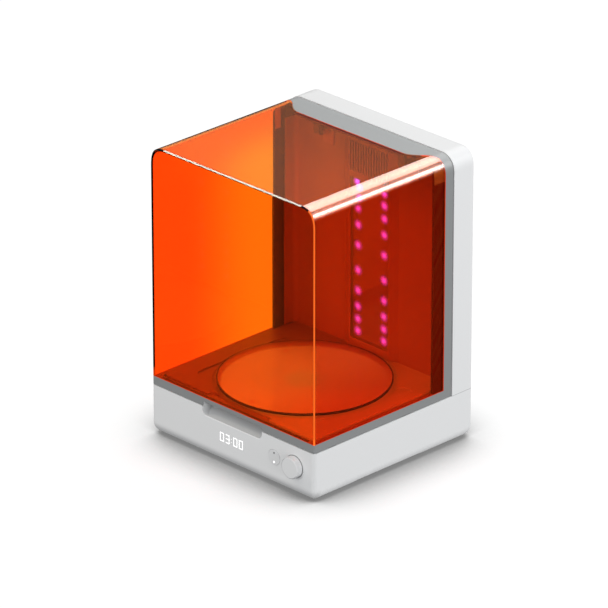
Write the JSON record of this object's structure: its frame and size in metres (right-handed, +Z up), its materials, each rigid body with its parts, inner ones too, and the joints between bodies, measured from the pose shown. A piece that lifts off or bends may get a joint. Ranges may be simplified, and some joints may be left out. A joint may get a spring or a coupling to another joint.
{
  "type": "dental lab light curing unit",
  "caption": "Bench-top curing chamber with an amber tilting lid, rear light tower, glass turntable and front knob, button and time display.",
  "frame": {"origin": "on the resting surface under the feet, in the middle of the closed outline in X and Y, knob included", "axes": "+Z up, -Y towards the user and the controls, +X to the user's right"},
  "size_m": [0.2676, 0.266, 0.3624],
  "materials": {
    "white_plastic": "smooth satin moulding",
    "light_grey_plastic": "fine moulded texture",
    "grey_plastic": "satin moulding",
    "amber_acrylic": "clear orange sheet, polished",
    "floor_plastic": "satin moulding",
    "pad_plastic": "smooth",
    "foot_rubber": "matt",
    "screw_steel": "zinc plated",
    "panel_aluminium": "bright reflecting sheet",
    "window_plastic": "clear sheet",
    "led_board_metal": "white solder mask on aluminium",
    "led_emitter": "clear domes",
    "sink_aluminium": "extruded",
    "black_plastic": "moulded",
    "bracket_metal": "dark coated steel",
    "magnet_metal": "nickel plated",
    "motor_steel": "plated can",
    "circuit_board": "green solder mask",
    "display_plastic": "filled display block",
    "rocker_plastic": "polished",
    "brass": "turned",
    "supply_metal": "folded sheet case",
    "disc_glass": "polished edge",
    "light_guide": "frosted"
  },
  "bodies": {
    "housing": {"base_shell": "white_plastic", "bottom_cover": "light_grey_plastic", "rubber_feet": "foot_rubber", "case_screws": "screw_steel", "chamber_floor": "floor_plastic", "glide_pads": "pad_plastic", "column_shell": "white_plastic", "rear_panel": "panel_aluminium", "led_window": "window_plastic", "led_board": "led_board_metal", "led_emitters": "led_emitter", "led_heat_sink": "sink_aluminium", "fan_duct": "black_plastic", "fan_frame": "black_plastic", "hinge_brackets": "bracket_metal", "hinge_pins": "screw_steel", "lid_bumpers": "foot_rubber", "lid_sensor": "black_plastic", "turntable_motor": "motor_steel", "front_board": "circuit_board", "display_module": "display_plastic", "encoder_body": "motor_steel", "button_switch": "black_plastic", "power_inlet": "black_plastic", "switch_housing": "black_plastic", "board_standoffs": "brass", "main_board": "circuit_board", "power_supply": "supply_metal"},
    "lid": {"hood_wrap": "amber_acrylic", "hood_front": "amber_acrylic", "lid_frame": "grey_plastic", "hinge_leaves": "bracket_metal", "hood_clamp_plates": "bracket_metal", "lid_magnet": "magnet_metal"},
    "turntable": {"turntable_disc": "disc_glass", "turntable_hub": "black_plastic"},
    "knob": {"knob": "white_plastic", "encoder_shaft": "motor_steel"},
    "button": {"start_button": "white_plastic", "button_light_guide": "light_guide"},
    "rocker": {"power_rocker": "rocker_plastic"},
    "fan": {"fan_rotor": "black_plastic"}
  },
  "joints": [
    {"name": "hood_hinge", "type": "hinge", "parent": "housing", "child": "lid", "pos_m": [0, 0.0812, 0.3557], "axis": [-1, 0, 0], "range_deg": [0, 70]},
    {"name": "turntable_spin", "type": "hinge", "parent": "housing", "child": "turntable", "pos_m": [0, -0.0074, 0.0782], "axis": [0, 0, 1], "continuous": true},
    {"name": "knob_turn", "type": "hinge", "parent": "housing", "child": "knob", "pos_m": [0.1021, -0.1244, 0.0374], "axis": [0, -1, 0], "continuous": true},
    {"name": "button_press", "type": "slide", "parent": "housing", "child": "button", "axis": [0, 1, 0], "range_m": [0, 0.0008], "stiffness_N_per_m": 400, "springref_m": -0.002},
    {"name": "rocker_tilt", "type": "hinge", "parent": "housing", "child": "rocker", "pos_m": [-0.038, 0.1224, 0.034], "axis": [-1, 0, 0], "range_deg": [0, 16]},
    {"name": "fan_spin", "type": "hinge", "parent": "housing", "child": "fan", "pos_m": [0, 0.121, 0.3139], "axis": [0, 1, 0], "continuous": true}
  ]
}
